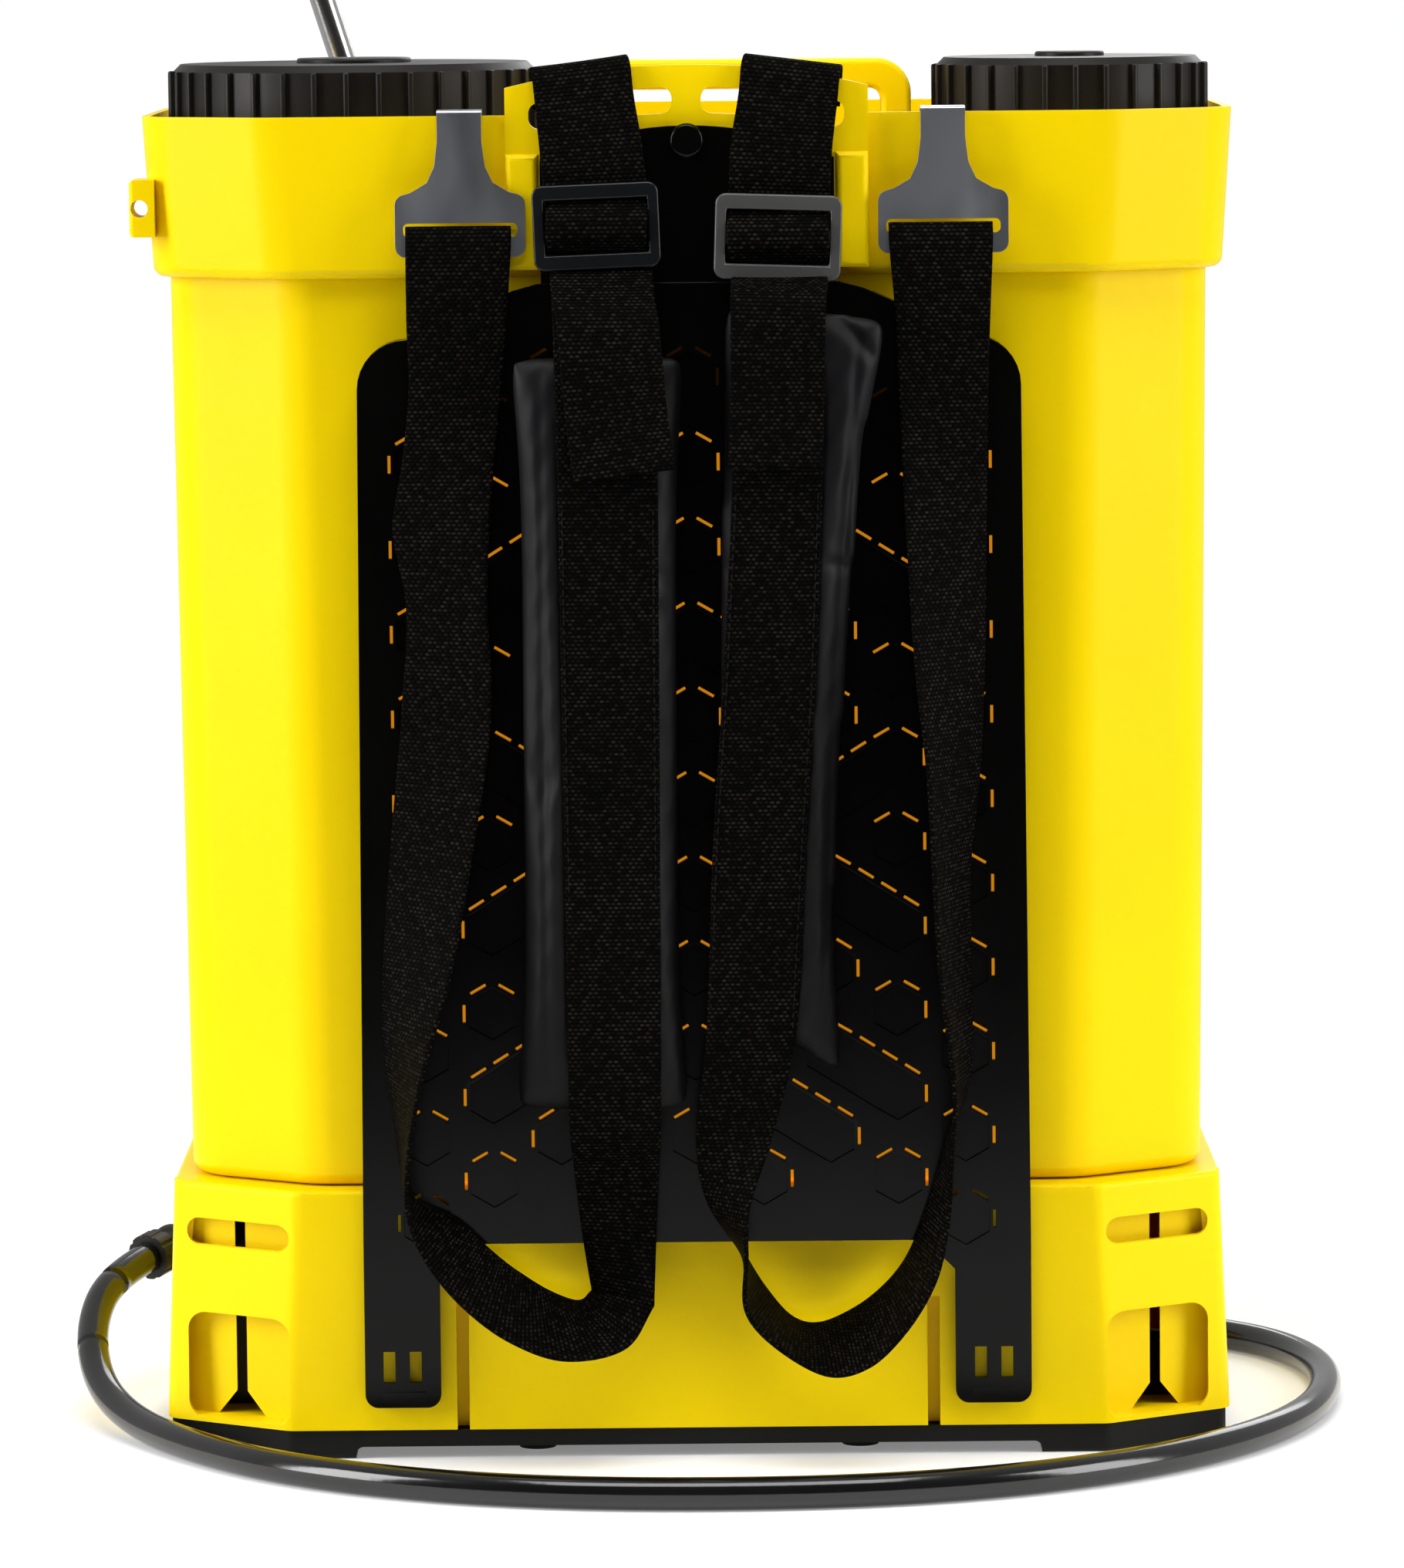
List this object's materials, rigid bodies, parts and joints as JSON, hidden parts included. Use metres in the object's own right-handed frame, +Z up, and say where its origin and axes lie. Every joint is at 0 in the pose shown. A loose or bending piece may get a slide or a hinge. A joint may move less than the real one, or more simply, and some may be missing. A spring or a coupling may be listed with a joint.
{
  "type": "backpack sprayer",
  "caption": "Two-chamber battery knapsack sprayer with a moulded tank on a base, two filler caps, padded shoulder straps, spray hose and telescopic lance.",
  "frame": {"origin": "centre of the base on the floor, in the middle pad of the bottom tray", "axes": "+Z up; -Y towards the harness side that lies on the wearer's back; +X to the right of someone looking at the harness side, towards the small filler cap"},
  "size_m": [0.4843, 0.356, 0.6658],
  "materials": {
    "tank_yellow": "blow-moulded polyethylene, soft gloss",
    "shell_yellow": "injection-moulded, soft gloss",
    "cap_black": "satin moulded",
    "tray_black": "satin moulded",
    "plate_black": "satin gloss moulded",
    "strainer_black": "moulded",
    "seal_rubber": "matt rubber",
    "screw_steel": "plated screws",
    "battery_case": "moulded case",
    "pump_grey": "glass-filled plastic",
    "motor_steel": "plated can",
    "hose_black": "glossy black vinyl hose",
    "lever_red": "moulded",
    "fitting_black": "moulded",
    "panel_black": "moulded",
    "meter_window": "clear window over a dark display",
    "board_green": "circuit board",
    "webbing_black": "woven polypropylene webbing",
    "pad_fabric": "coated nylon over foam",
    "hook_steel": "bright zinc plating",
    "buckle_black": "moulded",
    "gun_black": "moulded",
    "lance_steel": "stainless tube"
  },
  "bodies": {
    "sprayer": {"tank_body": "tank_yellow", "top_collar": "shell_yellow", "carry_handle": "shell_yellow", "top_screws": "screw_steel", "large_strainer": "strainer_black", "small_strainer": "strainer_black", "base_housing": "shell_yellow", "base_tray": "tray_black", "tray_screws": "screw_steel", "back_plate": "plate_black", "plate_rivet": "plate_black", "battery": "battery_case", "pump_head": "pump_grey", "pump_motor": "motor_steel", "suction_hose_large": "hose_black", "suction_hose_small": "hose_black", "selector_valve": "pump_grey", "delivery_hose": "hose_black", "outlet_fitting": "fitting_black", "outlet_nut": "fitting_black", "hose": "hose_black", "control_panel": "panel_black", "voltage_meter": "meter_window", "charging_socket": "motor_steel", "circuit_board": "board_green", "left_webbing": "webbing_black", "right_webbing": "webbing_black", "left_loop": "webbing_black", "right_loop": "webbing_black", "left_pad": "pad_fabric", "right_pad": "pad_fabric"},
    "large_seal": {"large_gasket": "seal_rubber"},
    "large_closure": {"large_cap": "cap_black"},
    "small_seal": {"small_gasket": "seal_rubber"},
    "small_closure": {"small_cap": "cap_black"},
    "selector": {"selector_lever": "lever_red"},
    "rocker": {"power_rocker": "lever_red"},
    "pressure_control": {"pressure_knob": "panel_black"},
    "charge_cover": {"socket_cover": "seal_rubber"},
    "left_hook_plate": {"left_hook": "hook_steel", "left_loop_end": "webbing_black"},
    "right_hook_plate": {"right_hook": "hook_steel", "right_loop_end": "webbing_black"},
    "left_slide_buckle": {"left_buckle": "buckle_black"},
    "right_slide_buckle": {"right_buckle": "buckle_black"},
    "gun": {"gun_shell_front": "gun_black", "gun_shell_rear": "gun_black", "gun_valve": "pump_grey", "hose_nut": "fitting_black", "trigger_spring": "screw_steel", "lance_tube": "lance_steel"},
    "trigger_lever": {"trigger": "gun_black"},
    "lock_catch": {"trigger_lock": "lever_red"},
    "collet": {"lance_collet": "fitting_black"},
    "extension": {"lance_extension": "lance_steel", "nozzle_elbow": "fitting_black"},
    "nozzle": {"nozzle_cap": "lever_red"}
  },
  "joints": [
    {"name": "large_cap_lift", "type": "slide", "parent": "sprayer", "child": "large_seal", "axis": [0, 0, 1], "range_m": [0, 0.09]},
    {"name": "large_cap_turn", "type": "hinge", "parent": "large_seal", "child": "large_closure", "pos_m": [-0.125, 0, 0.49], "axis": [0, 0, 1], "range_deg": [0, 540]},
    {"name": "small_cap_lift", "type": "slide", "parent": "sprayer", "child": "small_seal", "axis": [0, 0, 1], "range_m": [0, 0.09]},
    {"name": "small_cap_turn", "type": "hinge", "parent": "small_seal", "child": "small_closure", "pos_m": [0.144, 0, 0.49], "axis": [0, 0, 1], "range_deg": [0, 540]},
    {"name": "selector_turn", "type": "hinge", "parent": "sprayer", "child": "selector", "pos_m": [-0.06, 0.11, 0.062], "axis": [0, 1, 0], "range_deg": [-90, 90]},
    {"name": "rocker_tilt", "type": "hinge", "parent": "sprayer", "child": "rocker", "pos_m": [0.07, 0.102, 0.051], "axis": [1, 0, 0], "range_deg": [0, 12]},
    {"name": "pressure_turn", "type": "hinge", "parent": "sprayer", "child": "pressure_control", "pos_m": [0.098, 0.1084, 0.051], "axis": [0, 1, 0], "range_deg": [0, 270]},
    {"name": "cover_swing", "type": "hinge", "parent": "sprayer", "child": "charge_cover", "pos_m": [0.14, 0.11, 0.0488], "axis": [1, 0, 0], "range_deg": [0, 150]},
    {"name": "left_hook_lift", "type": "slide", "parent": "sprayer", "child": "left_hook_plate", "axis": [0, 0, 1], "range_m": [0, 0.024]},
    {"name": "right_hook_lift", "type": "slide", "parent": "sprayer", "child": "right_hook_plate", "axis": [0, 0, 1], "range_m": [0, 0.024]},
    {"name": "left_buckle_slide", "type": "slide", "parent": "sprayer", "child": "left_slide_buckle", "axis": [-0.035, 0, 0.9994], "range_m": [0, 0.022]},
    {"name": "right_buckle_slide", "type": "slide", "parent": "sprayer", "child": "right_slide_buckle", "axis": [0.035, 0, 0.9994], "range_m": [0, 0.022]},
    {"name": "gun_unclip", "type": "slide", "parent": "sprayer", "child": "gun", "axis": [0, 1, 0], "range_m": [0, 0.03]},
    {"name": "trigger_pull", "type": "hinge", "parent": "gun", "child": "trigger_lever", "pos_m": [-0.03216, 0.122, 0.24157], "axis": [0, 1, 0], "range_deg": [0, 7], "stiffness_Nm_per_rad": 1.5, "springref_deg": -2.86},
    {"name": "lock_swing", "type": "hinge", "parent": "gun", "child": "lock_catch", "pos_m": [0.00032, 0.122, 0.13857], "axis": [0, -1, 0], "range_deg": [0, 120]},
    {"name": "collet_turn", "type": "hinge", "parent": "gun", "child": "collet", "pos_m": [-0.15946, 0.122, 0.59044], "axis": [-0.3007, 0, 0.9537], "range_deg": [0, 180]},
    {"name": "lance_extend", "type": "slide", "parent": "gun", "child": "extension", "axis": [-0.3007, 0, 0.9537], "range_m": [0, 0.25]},
    {"name": "nozzle_turn", "type": "hinge", "parent": "extension", "child": "nozzle", "pos_m": [-0.17419, 0.122, 0.63717], "axis": [-0.2463, 0.5736, 0.7812], "range_deg": [0, 270]}
  ]
}
